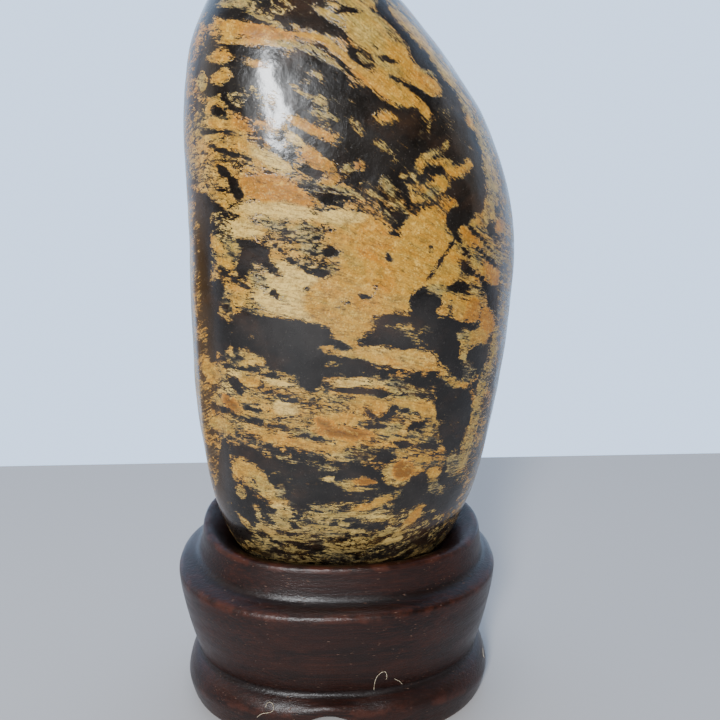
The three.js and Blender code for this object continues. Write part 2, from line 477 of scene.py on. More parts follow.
RIDGE_X, RIDGE_HEIGHT, RIDGE_WIDTH = -35.6, 0.7, 1.6
HOLLOW_X, HOLLOW_DEPTH, HOLLOW_WIDTH = -32.2, 0.5, 2.4
SEATED_BELOW = 54
SEATED_FADE = 12


def worn_offset(x, y, z):
    """How far the water-worn form stands off the plain one: slow swells, small dints and a
    ridge down the left of its face. The part that sits in the stand keeps the plain form."""
    out = 0.45 * noise.noise(Vector((x, y, z)) / 26 + Vector((3, 1, 7)))
    out += 0.16 * noise.noise(Vector((x, y, z)) / 9 + Vector((9, 2, 4)))
    out += 0.05 * noise.noise(Vector((x, y, z)) / 3.2)
    along = min(max((z - 62) / 30, 0), 1) * min(max((160 - z) / 25, 0), 1)
    if y < 0:
        out += RIDGE_HEIGHT * along * math.exp(-((x - RIDGE_X) / RIDGE_WIDTH) ** 2)
        out -= HOLLOW_DEPTH * along * math.exp(-((x - HOLLOW_X) / HOLLOW_WIDTH) ** 2)
    return out * min(max((z - SEATED_BELOW) / SEATED_FADE, 0), 1)


point_count = len(stone.data.vertices)
points = np.empty(point_count * 3, np.float32)
stone.data.vertices.foreach_get("co", points)
points = points.reshape(-1, 3)
facings = np.empty(point_count * 3, np.float32)
stone.data.vertices.foreach_get("normal", facings)
moves = np.array([worn_offset(*point) for point in points / MM], np.float32)
points += facings.reshape(-1, 3) * moves[:, None] * MM
stone.data.vertices.foreach_set("co", points.ravel())
stone.data.update()

# The mineral markings of the face, painted one over another in this order. Each is an oval lens:
# x, z, half length, half height, tilt in degrees. A kind is how much mineral covers the black
# (1 all, -1 none), how warm it is (0 grey green, 1 rust) and how pale it is (0 to 1).
KINDS = {
    "gold": (0.74, 0.45, 0.18),
    "light": (0.88, 0.43, 0.5),
    "ochre": (0.74, 0.53, 0.12),
    "tan": (0.64, 0.31, 0.5),
    "cream": (0.78, 0.37, 0.95),
    "rust": (1.0, 1.0, 0),
    "pink": (0.76, 0.68, 0.12),
    "olive": (0.55, 0.14, 0.4),
    "sand": (0.5, 0.3, 0.48),
    "ash": (0.06, 0.06, 0.5),
    "beds": (0.27, 0.4, 0.4),
    "mix": (-0.08, 0.36, 0.45),
    "thin": (-0.42, 0.2, 0.85),
    "dark": (-0.84, 0.33, 0.4),
    "black": (-1.15, 0.4, 0.35),
}
MARKINGS = [
    ("sand", -39.5, 145, 36, 2.6, 91), ("sand", -38.5, 96, 22, 2, 92), ("ash", -39, 126, 10, 1.6, 90),
    # broad fields first
    ("dark", -8, 203, 24, 12, 0), ("mix", -8, 212, 12, 6, -10), ("dark", -22, 184, 11, 7, 0),
    ("dark", -5, 180, 9, 8, -35), ("dark", 10, 174, 15, 7, 0), ("dark", 22, 170, 13, 8, -5),
    ("dark", 2, 171, 7, 10, 0), ("dark", 12, 163, 12, 5, 0), ("dark", 31, 162, 6, 8, 0),
    ("dark", 27, 174, 5, 8, -30), ("dark", 32, 150, 4, 7, 0), ("beds", -27, 165, 10, 10, -15),
    ("beds", -22, 157, 11, 6, -12), ("gold", 3, 141, 14, 12, 0), ("gold", 21, 142, 9, 10, 0),
    ("beds", -12, 137, 13, 14, -8), ("cream", -8, 131.5, 13, 5, -8), ("cream", -9, 137, 8, 4, -10),
    ("gold", 8, 131, 16, 8, 0), ("mix", -27, 139, 6, 12, -30), ("mix", 37, 140, 7, 16, -42),
    ("black", -12, 119, 15, 8, -8), ("dark", 20, 122, 14, 6, -6), ("mix", -24, 107, 9, 11, -8),
    ("beds", -14, 103, 14, 10, -8), ("beds", 3, 99, 16, 9, -5), ("beds", 16, 101, 13, 7, -4),
    ("mix", 19, 94, 10, 6, 0), ("dark", 31, 100, 5, 14, 8), ("dark", -8, 82, 22, 7, -4),
    ("dark", 10, 79, 20, 5, 0), ("dark", 25, 74, 10, 8, 0), ("thin", 0, 63, 30, 12, 0),
    ("dark", -29, 70, 6, 12, 0),
    # the crown and the tan band that folds down across it
    ("olive", -22, 199, 5, 1.2, -8), ("olive", -17.5, 197.5, 3, 0.8, -30), ("thin", -14, 198, 5, 2, 0),
    ("ochre", -22, 193.6, 6, 1.7, -5), ("pink", -14, 192.3, 6.5, 1.6, -6),
    ("gold", -5, 191.4, 5.5, 1.2, -12), ("gold", 1.8, 187.8, 5, 1.2, -38),
    ("gold", 6.5, 183.8, 5, 1.3, -43), ("gold", 10, 180.6, 3.5, 0.9, -50), ("gold", -24, 191, 2.2, 1.2, 0),
    ("ochre", -17, 190.3, 6, 1.0, -2), ("olive", -8.5, 189.4, 6.5, 0.9, -8),
    ("olive", -1.5, 186.4, 4, 0.8, -30), ("olive", -15, 195, 4.5, 0.5, -20),
    ("ash", -10.5, 193.6, 2, 0.8, 0), ("sand", 6, 201, 7, 3, 0), ("tan", 2.5, 196.2, 6.5, 1.9, -12),
    ("tan", 8, 193.2, 7, 4.4, -38), ("tan", 12.5, 189.5, 8, 4.2, -42), ("tan", 13, 183.5, 6, 3.8, -52),
    ("gold", 17, 186.4, 6, 2.6, -40), ("ochre", 21, 182, 5.5, 2.4, -22), ("gold", 15.5, 178.6, 5, 2.2, -20),
    ("gold", 11.5, 181.5, 4, 2.6, -45), ("black", 3.5, 197.4, 2.6, 0.8, 0),
    ("black", 12.6, 186.7, 2.2, 0.45, -15), ("black", 18, 180.6, 5.5, 0.65, -26),
    ("black", 24.5, 177.8, 3.6, 0.7, -10), ("black", 6.2, 186.8, 3.6, 1.5, -38),
    ("ash", 6.8, 186.6, 2.2, 0.8, -38), ("black", 12.3, 199, 4, 1.5, -60),
    ("black", 16.5, 193.2, 4.4, 1.3, -46), ("black", 21.5, 187.3, 4.6, 2.3, -45),
    ("black", 26.5, 181.8, 4, 1.1, -50), ("sand", 13.8, 192, 3.4, 0.9, -30),
    ("sand", 15.6, 197, 4.5, 1.5, -55), ("sand", 20.5, 192.8, 5.5, 1.7, -52),
    ("sand", 26.5, 185.8, 6, 1.7, -52), ("sand", 32.3, 177.5, 6, 1.4, -56),
    ("ochre", 33.5, 173.4, 2.4, 1, -60), ("sand", 37, 169, 6, 1.6, -64), ("sand", 39.5, 160, 7, 2.4, -75),
    ("olive", 22, 184.4, 2, 0.6, -10), ("gold", 21.2, 175.2, 2.6, 1.1, -50),
    # the dark field with its nodules
    ("ochre", 11.8, 174, 2.5, 1.3, -12), ("olive", 5.2, 171.8, 1.9, 0.85, -58),
    ("olive", 11, 167.6, 2.2, 0.9, -36), ("rust", 5.2, 163, 1.1, 0.7, 0), ("olive", 3, 162.6, 1.3, 0.8, 10),
    ("thin", 22.3, 171, 2.4, 0.5, 88), ("thin", 14.5, 165, 2, 1.4, -40), ("thin", 26.5, 174, 3, 1.6, -50),
    # left of the highlight
    ("ochre", -26.2, 187.5, 2.7, 1.5, 0), ("gold", -26.2, 182.8, 2.3, 1.6, 15),
    ("gold", -17.5, 185.4, 2.4, 0.9, -5), ("gold", -28, 177.7, 2, 0.8, 20),
    ("gold", -25.8, 176.4, 1.9, 0.7, -36), ("gold", -29.6, 175.8, 1.5, 0.8, 80),
    ("black", -27, 175.2, 2, 0.9, -10), ("olive", -31, 182, 1.2, 2.4, 0), ("thin", -20, 178, 5, 3, -20),
    ("ochre", -26.5, 172.4, 5.5, 1.3, -8), ("black", -28.5, 170.9, 4, 0.5, -5),
    ("pink", -20, 172, 4, 1.2, -25), ("black", -27.5, 166.6, 3.4, 0.5, -20),
    ("black", -24, 165.8, 4, 0.45, -14), ("gold", -19, 166.5, 6, 1.5, -34),
    ("cream", -14.5, 164.2, 6, 1.6, -30), ("black", -15.5, 169.4, 5, 0.6, -38),
    ("black", -15, 174.6, 1.8, 0.5, -28), ("black", -26.5, 161.8, 2.8, 0.9, -40),
    ("black", -23.3, 158, 2.8, 1.4, -70), ("black", -27.2, 157.4, 1.6, 0.5, -15),
    ("black", -32.4, 152.6, 3.6, 2.2, 80), ("black", -28.6, 153, 1.8, 0.9, -30),
    ("thin", -27, 150, 4, 2.2, -15),
    # fingers right of the highlight
    ("olive", -7, 179.2, 3.8, 0.5, -32), ("olive", -3.4, 177.4, 2.3, 1.1, -28),
    ("olive", -4, 183.2, 1.7, 0.7, -36), ("ash", -6.7, 181.5, 1, 0.8, 0),
    ("olive", -2.4, 174.4, 2.8, 0.8, -20), ("ash", -2, 172, 2.2, 0.45, -22),
    ("ochre", -8.5, 173, 3.4, 1.3, -20), ("ochre", -4.6, 171, 4.4, 1.2, -18),
    ("ochre", -0.8, 169.4, 2, 1.3, 0), ("cream", -9, 169, 3, 1.2, -30),
    ("black", -4.2, 168.2, 3.6, 0.8, -24), ("ochre", -5.6, 165.6, 2.6, 2, -20),
    ("ochre", -2.6, 163.6, 3.4, 1.5, -30), ("black", -4.4, 161.6, 4.2, 0.8, -12),
    ("ochre", -0.6, 160.1, 2.8, 1.2, 15), ("ash", -5, 158.4, 3.6, 0.7, -16), ("ash", 0, 157.4, 6, 0.8, -6),
    ("ash", 5.4, 156.6, 5, 0.7, -3), ("black", 0.5, 156, 5, 0.4, -5), ("ash", 9.3, 157.6, 2.8, 0.7, -38),
    ("black", -3.5, 155.7, 3, 0.6, -20),
    # the pink sugary patch, the cream ground and its grey veins
    ("pink", -15.5, 157.8, 7.4, 3, -8), ("pink", -9, 156.4, 4.6, 2, -22),
    ("ochre", -13.5, 159.8, 4, 0.9, -15), ("cream", -13.5, 152.8, 10, 1.9, -4),
    ("cream", -22.2, 148.6, 4.2, 2.2, 0), ("ash", -12.5, 148.6, 6, 0.9, -22),
    ("thin", -28, 147.6, 3.4, 2.2, -25), ("black", -20, 144.6, 3.4, 1.0, -14),
    ("black", -18, 142.2, 2, 1.7, -50), ("black", -22.2, 140.6, 4, 1.5, 75),
    ("black", -16, 139.2, 3.2, 0.7, -36), ("black", -12.6, 143, 3.6, 0.5, -40),
    ("black", -8.8, 140, 3, 0.5, -22), ("black", -5.2, 138.4, 2.4, 0.6, -10),
    ("gold", -27.5, 139.6, 2.6, 2.2, -30), ("gold", -29.5, 144.4, 3, 1.6, -40),
    ("black", -26.2, 136.6, 3.4, 0.8, -42), ("black", -29.8, 132.6, 3.2, 1.6, 80),
    ("gold", -24.5, 133.6, 3, 1.1, -30), ("gold", -24.6, 130.3, 2.6, 1, -14),
    ("mix", -28, 127.6, 2.2, 3.6, 0), ("ash", -18.5, 135.5, 2.4, 1.4, -40),
    ("olive", -13.6, 132.3, 2, 0.9, -20), ("black", -15.2, 133.2, 1, 0.5, -40),
    ("ash", -6.5, 147.8, 3.4, 1.8, -10), ("black", -1.6, 148.7, 1.5, 0.6, -28),
    ("black", -4.6, 146.6, 1.8, 0.4, -12), ("ash", -5.4, 143.8, 3.2, 1.2, 0),
    ("black", -1.2, 143.4, 2, 1.1, 4), ("black", -4.6, 142.4, 2, 0.5, -20),
    ("black", -3.2, 138.2, 1.9, 1.2, 0), ("ash", -1.6, 139.2, 1.2, 0.8, 0),
    ("black", -7.3, 134.6, 0.9, 0.35, -30),
    # the gold heart and its lobes
    ("ochre", 9.5, 144.5, 4.2, 6, 10), ("ochre", 10.5, 136.5, 4, 4.4, 0), ("cream", 1, 151.4, 6, 1.8, 0),
    ("gold", 22.3, 147.6, 4.6, 6, -5), ("gold", 26, 148.6, 2.6, 2.2, 0), ("gold", 3.6, 124.6, 5.4, 4, 0),
    ("gold", 4, 121.8, 2.6, 1.2, 0), ("black", 15.6, 151.4, 3, 1.1, 62),
    ("black", 13.2, 152.4, 3, 0.6, -36), ("olive", 12.4, 158.4, 2.7, 1.4, -58),
    ("ash", 14.6, 154.4, 3.2, 0.8, -45), ("ash", 13.4, 151.2, 2.6, 0.8, -40),
    ("black", 14.2, 147.3, 1.2, 0.5, 0), ("black", 12.9, 141.7, 1, 0.4, -70),
    ("black", 23.2, 143.9, 0.5, 0.5, 0), ("black", 27.4, 143.1, 3.1, 0.5, 58),
    ("black", 25.4, 140.1, 1.5, 0.7, 55), ("black", 23.2, 137.2, 1.4, 0.45, 55),
    ("black", 9.6, 133.9, 0.7, 0.4, 20), ("black", 7, 132.4, 1.5, 0.3, 5),
    ("black", 3, 131.7, 1.6, 0.3, 10), ("gold", 28.6, 139.6, 2.6, 3.6, 0), ("gold", 26.4, 136, 3.4, 1.6, 0),
    # loops and blots at the upper right
    ("gold", 20.3, 163.4, 2, 1.0, 68), ("sand", 22.4, 165.6, 2.6, 0.9, 22),
    ("ochre", 24.5, 164, 2.4, 0.9, 0), ("gold", 27.2, 162.2, 1.9, 1, -50), ("ochre", 30.6, 162, 3, 1.2, 14),
    ("gold", 32.4, 163.2, 1.2, 1.3, 0), ("sand", 26.5, 167.5, 1.4, 0.6, 60),
    ("gold", 25.2, 158.9, 2.2, 2, 0), ("gold", 18.2, 157, 2.3, 0.6, -75),
    ("gold", 20.4, 155.7, 2.2, 0.9, 12), ("ash", 23, 156.8, 2, 1, 30), ("olive", 16, 160.6, 0.9, 0.6, -30),
    ("pink", 28.6, 154.4, 1.4, 1, 0), ("olive", 29.2, 153.1, 1, 0.8, -60),
    ("thin", 18.4, 161, 1.2, 0.8, -60), ("black", 29, 150.6, 3.4, 2.1, 70),
    ("black", 31.2, 156.6, 2.4, 2.2, 0), ("black", 35.6, 155.6, 2.4, 2.6, 0),
    ("sand", 38.6, 152.4, 5, 2, 85), ("gold", 34.6, 149.6, 2.4, 1.5, 24), ("gold", 31.8, 148, 1.8, 1.2, 30),
    ("black", 39.8, 147.6, 1.8, 1.6, 0), ("pink", 42, 148, 1.6, 1.6, 0), ("pink", 33, 146, 3, 1.5, -46),
    ("pink", 36.6, 143.6, 5.4, 1.5, -42), ("sand", 40, 141.6, 5.4, 1.5, -42),
    ("gold", 33, 142.2, 2.6, 1.2, -46), ("sand", 36, 138.6, 5, 1.1, -42), ("pink", 41, 136, 5, 1.8, -42),
    ("pink", 37.6, 134.4, 4.6, 1.2, -42), ("black", 36, 145.7, 4.6, 0.45, -42),
    ("black", 38.6, 140.4, 5, 0.45, -42), ("black", 32.2, 142.6, 1.8, 0.6, -50),
    ("black", 32.6, 138.2, 2.6, 1, -46), ("black", 36.2, 135.9, 4, 0.5, -40),
    ("black", 31, 133.9, 2.6, 1.1, -6), ("black", 40, 131.6, 4.4, 0.9, -40),
    ("sand", 35.6, 131.4, 3.2, 1, -40),
    # blots at the lower right of the heart
    ("black", 22, 130.2, 4, 4.4, 10), ("ash", 24.6, 133.4, 2.6, 1.2, -20), ("gold", 26.3, 128, 1.6, 1.6, 0),
    ("gold", 31.3, 128.2, 2.4, 3, -20), ("pink", 34.8, 127.4, 2.2, 3.6, 0),
    ("gold", 28, 131.6, 2.2, 0.8, -30), ("black", 28.6, 124.4, 5.4, 1.4, -22),
    ("black", 33.6, 123.5, 2.6, 0.8, -8), ("pink", 39.4, 124, 2.2, 4, 20), ("gold", 36.6, 119.6, 3, 2.8, 0),
    ("olive", 31.8, 121.4, 2.2, 1.4, 0), ("sand", 33, 117.4, 1.4, 4.4, 0),
    ("black", 40.6, 129.4, 1.6, 3, 10), ("mix", 16.5, 124.6, 5.6, 0.9, -12),
    ("mix", 20.6, 122, 6, 1.4, -26), ("black", 28, 118, 3.2, 5.4, 10), ("black", 24, 120.8, 4.4, 1.2, -26),
    ("black", 12, 121, 6, 2.4, -4), ("black", 15, 126.2, 3, 1, -4), ("black", 37, 114, 3.2, 4, 10),
    ("ash", 34.6, 111.6, 2.4, 3, 0),
    # the slate patch and the gold band under it
    ("black", -20, 125.4, 4.6, 2.2, -14), ("olive", -21.2, 122.2, 1, 0.9, 0),
    ("black", -7, 110.6, 3, 2.4, 0), ("black", -29.4, 121.6, 2.6, 4.4, 0),
    ("gold", -0.8, 118.9, 4.4, 0.9, -14), ("light", 7.6, 118.2, 6, 1.9, 4),
    ("light", 14, 116.4, 6.4, 2.7, -6), ("light", 20.4, 115.8, 5.6, 3, -10),
    ("gold", 25.4, 112.8, 3.2, 1.5, -14), ("gold", 29.6, 109.4, 4.2, 1.1, -28),
    ("ochre", 33, 107.6, 2, 1, -30), ("sand", -1, 115.5, 2.8, 0.5, -5), ("black", 4.6, 113.8, 4.8, 2, -3),
    ("thin", 8.6, 112.7, 2.4, 1, -8), ("black", 12.4, 113.4, 2.6, 0.7, -3), ("black", 1, 116.8, 4, 0.5, -6),
    ("cream", 4.6, 110.3, 7.2, 0.9, -2), ("black", 5.8, 108, 6.6, 0.75, -2),
    ("black", 11.4, 106.7, 1.9, 0.5, -34), ("black", 20.1, 110.4, 2, 0.9, 80),
    ("black", 24.2, 111.4, 2.2, 0.8, 10), ("ash", 15.5, 109.3, 3.6, 1.6, -20),
    ("ash", 19, 107, 5.4, 1.5, -10), ("black", 28.4, 105.6, 2.4, 2.2, 0),
    # the streaked field
    ("sand", -21.5, 116.8, 3.4, 1.4, -18), ("black", -24.2, 113.4, 5, 0.5, -2),
    ("black", -19.6, 112.4, 4, 0.45, -8), ("black", -26.2, 109.2, 3.2, 1.5, -56),
    ("thin", -28.4, 107.4, 2, 2, 0), ("gold", -22.4, 110.2, 3, 2, -10), ("cream", -26, 111.6, 2.2, 0.9, -4),
    ("cream", -14.6, 110.2, 4.4, 0.9, -8), ("rust", -28, 103.4, 2.6, 1.5, -46),
    ("gold", -33, 111, 2.4, 3.4, 20), ("cream", -13.4, 103.4, 3.6, 2.2, -18),
    ("tan", -10.8, 104.4, 1.3, 1, 0), ("black", -18, 108, 2, 0.45, -26),
    ("black", -13.4, 106.2, 3.6, 0.6, -20), ("black", -22, 103.8, 3, 0.35, 0),
    ("black", -22, 102.4, 2.8, 0.8, -6), ("black", -19.6, 98.6, 4.6, 0.65, -6),
    ("black", -13, 97.4, 4.4, 0.5, -12), ("ash", -8, 96, 4.6, 1.1, -16), ("black", -6.4, 95.2, 3, 0.4, -16),
    ("black", -16.2, 92.6, 2.6, 0.4, -22), ("gold", -31, 96, 4, 2.4, -14), ("gold", -15, 94, 7, 1.5, -10),
    ("gold", -4.4, 92.2, 8, 1.4, -8), ("cream", 1.6, 89.6, 4.6, 1, -10), ("rust", 1.6, 96.4, 7, 1.5, -4),
    ("rust", -3.4, 99.4, 2.6, 1.4, -20), ("ochre", 2, 100.6, 6, 1.6, -4), ("ochre", 2.6, 93.4, 5, 1.2, -12),
    ("ochre", 10.6, 92.8, 5, 1, -4), ("gold", 6.6, 104.6, 2.6, 2.6, 0), ("black", 11.4, 103.2, 3.9, 3.5, 0),
    ("gold", 10.6, 103.6, 2.8, 2.6, 0), ("gold", 10.6, 103.6, 2.2, 2, 0),
    ("black", 13.8, 103.6, 2, 0.35, 80), ("gold", 18.6, 104, 6, 1.5, -14), ("gold", 23, 101.8, 3, 1.3, -24),
    ("black", 17, 102.4, 3.6, 0.35, -20), ("black", 8.8, 98.2, 3.2, 0.9, -2),
    ("black", 20.6, 97.8, 3, 0.8, 18), ("ash", 15, 97.6, 2, 1, 0), ("black", 17, 92.2, 2.6, 1, -18),
    ("black", 24, 91.2, 3.4, 1, -10), ("ash", 6.2, 90.2, 4.6, 2, 4), ("black", 12.2, 89.8, 2.2, 1.1, 0),
    ("black", -24.4, 89.6, 4, 1.6, -4), ("black", -21, 87.6, 3.4, 1.6, -40), ("ash", -12, 88.4, 5, 0.9, -6),
    ("ash", -3, 86, 3, 0.7, -10), ("cream", -2.6, 82.6, 1.4, 0.9, 0),
    # the right flank
    ("sand", 38.6, 102, 10, 1.7, 82), ("sand", 35.4, 87, 8, 2.2, 80), ("ash", 31.6, 84, 2, 4.4, 0),
    ("sand", 42.4, 116, 8, 1.6, 84), ("mix", 45, 128, 3, 12, 0),
    # the striped nodule at the lower left
    ("gold", -24, 82.6, 5.4, 3.6, -20), ("sand", -20.4, 79.6, 5, 2.4, -28),
    ("gold", -25.6, 86, 3.2, 0.9, -6), ("black", -22.6, 80.6, 1.4, 0.4, -60),
    ("black", -26.6, 79.4, 1.6, 0.6, 70), ("sand", -18.4, 76.6, 4.4, 1.4, -22),
    ("black", -22.4, 74.4, 3.4, 1, -14), ("sand", -26.6, 76.6, 1.6, 2.2, 0),
    ("ash", -15.4, 78.6, 1.6, 2.6, 0),
    # the rust nodule in its ring, and its neighbours
    ("sand", 16, 84, 4.4, 4, 0), ("rust", 17.4, 84.8, 2.7, 3, 10), ("gold", 22.4, 87.6, 3, 1.5, -6),
    ("gold", 21.6, 84.2, 1.4, 1.4, 0), ("gold", 26, 82.4, 2.2, 2.4, 0), ("black", 13.6, 88.8, 2.4, 0.8, 8),
    ("black", 22.6, 81.6, 1.6, 1.6, 0), ("rust", 7.4, 81.8, 2.9, 1.05, 0), ("sand", 1.8, 81, 2.8, 1.1, -4),
    ("sand", 6, 79.5, 3.4, 0.6, 0), ("ash", 27, 77.4, 2.4, 1.6, -30),
    # ribbons round the foot
    ("gold", 12, 75.6, 4.6, 1.2, 16), ("ochre", 7.6, 73.2, 4.4, 1.3, 12), ("sand", 2.2, 70.9, 6.4, 1.1, 4),
    ("olive", -3, 72.4, 5.4, 0.8, -18), ("sand", -6, 70.2, 3, 1.1, -22), ("tan", -14.6, 71, 2.2, 1.4, -34),
    ("cream", -16.8, 73.4, 2.2, 0.9, 0), ("tan", -15.4, 67.4, 3.6, 1.6, -44),
    ("sand", -9, 67.4, 6, 0.9, -14), ("sand", -2.4, 65.6, 6, 1.2, -8), ("olive", -5.4, 64, 6, 0.7, -10),
    ("sand", 1.4, 67.6, 2.4, 0.8, -30), ("tan", -19, 63.6, 4.6, 1.4, -36),
    ("sand", -12.4, 61.6, 3.8, 0.7, -16), ("olive", -13, 57.4, 3.4, 0.6, -4),
    ("sand", -1.6, 59, 3.4, 1, -24), ("sand", 5.6, 61.8, 2.6, 0.9, 24), ("olive", 12.4, 63.2, 5, 1, 24),
    ("ochre", 20.6, 67.6, 4.8, 1.7, 58), ("tan", 17.6, 63.6, 3, 1.2, 40), ("cream", 15.4, 60.4, 4, 1, 12),
    ("sand", 8.6, 59, 6, 0.8, 4), ("sand", 11.6, 68.4, 2.4, 0.8, -12), ("sand", 15.4, 67.6, 1.4, 1.4, 0),
    ("thin", 26.6, 66, 3, 4, 30), ("sand", -26.4, 66.4, 4.4, 0.8, -52), ("olive", 3.4, 56.8, 5, 0.6, 2),
    # the dark strip behind the left ridge, painted black as the shade in the hollow there
    ("black", -32.6, 141, 14, 1.5, 86), ("black", -31.6, 122, 8, 1.5, 84),
    ("black", -31.4, 82, 10, 1.6, 84),
]


def bend(distance, softness):
    """Nothing on one side, a steady rise on the other, with a soft turn between."""
    return softness * np.log1p(np.exp(np.clip(distance / softness, -30, 30)))


def back_mineral(along, across, depth):
    """The mineral of the back and sides: the same beds of black and gold, broad and folded."""
    cover = 2.6 * noise.noise(Vector((along, across, depth)))
    cover += 1.1 * noise.noise(Vector((2.3 * along, 2.3 * across, depth + 5)))
    warm = 0.42 + 0.3 * noise.noise(Vector((along, across, depth + 20)))
    pale = 0.35 + 0.5 * noise.noise(Vector((along, 1.5 * across, depth + 40)))
    return max(-1.1, min(0.7, cover)), warm, pale


# The painted face has given way to the plainer beds of the back at y = FACE_ENDS.
FACE_ENDS = 9
FACE_FADE = 14
GROUND = (-0.32, 0.5, 0.4)
FOOT_WEAR_BELOW = 64
FOOT_WEAR_FADE = 22


def painted_markings(mesh):
    """What each point of the stone is made of, and where it lies in the folded beds."""
    count = len(mesh.vertices)
    places = np.empty(count * 3, np.float32)
    mesh.vertices.foreach_get("co", places)
    x, y, z = (places.reshape(-1, 3) / MM).T
    front = np.clip((FACE_ENDS - y) / FACE_FADE, 0, 1)
    mineral = np.zeros((count, 3), np.float32)
    mineral[:] = GROUND
    for kind, mark_x, mark_z, length, height, tilt in MARKINGS:
        turn = math.radians(tilt)
        along = (x - mark_x) * math.cos(turn) + (z - mark_z) * math.sin(turn)
        across = (z - mark_z) * math.cos(turn) - (x - mark_x) * math.sin(turn)
        away = np.sqrt((along / length) ** 2 + (across / height) ** 2)
        soft = min(0.75, 0.85 / height) * 0.9
        share = np.clip((1 + soft - away) / (2 * soft), 0, 1)[:, None]
        share = share * share * (3 - 2 * share)
        mineral += (np.array(KINDS[kind], np.float32) - mineral) * share
    upper = np.clip((z - 118) / 30, 0, 1)
    lower = np.clip((88 - z) / 20, 0, 1)
    across = z + 0.16 * x + 1.1 * upper * bend(x - 4 + 0.5 * (z - 165), 8)
    across -= 0.8 * lower * bend(x - 8, 7)
    across += 1.1 * bend(-33 - x, 2) + 0.9 * bend(x - 43, 3)
    across += 1.6 * np.sin(x / 17 + y / 21) + 1.6 * np.sin(y / 13 + z / 31)
    along = x - 0.16 * z + 1.5 * np.sin(z / 15)
    worn = np.clip((FOOT_WEAR_BELOW - z) / FOOT_WEAR_FADE, 0, 1)
    mineral[:, 1] -= 0.14 * worn
    mineral[:, 2] += 0.3 * worn
    back_places = np.stack([along / 22, across / 9.5, y / 20], axis=1)
    rest = np.array([back_mineral(*place) for place in back_places])
    mineral = rest + (mineral - rest) * front[:, None]
    return mineral, np.stack([along, across, y], axis=1)


mineral, beds = painted_markings(stone.data)
layer = stone.data.attributes.new("mineral", "FLOAT_VECTOR", "POINT")
layer.data.foreach_set("vector", mineral.astype(np.float32).ravel())
layer = stone.data.attributes.new("beds", "FLOAT_VECTOR", "POINT")
layer.data.foreach_set("vector", beds.astype(np.float32).ravel())


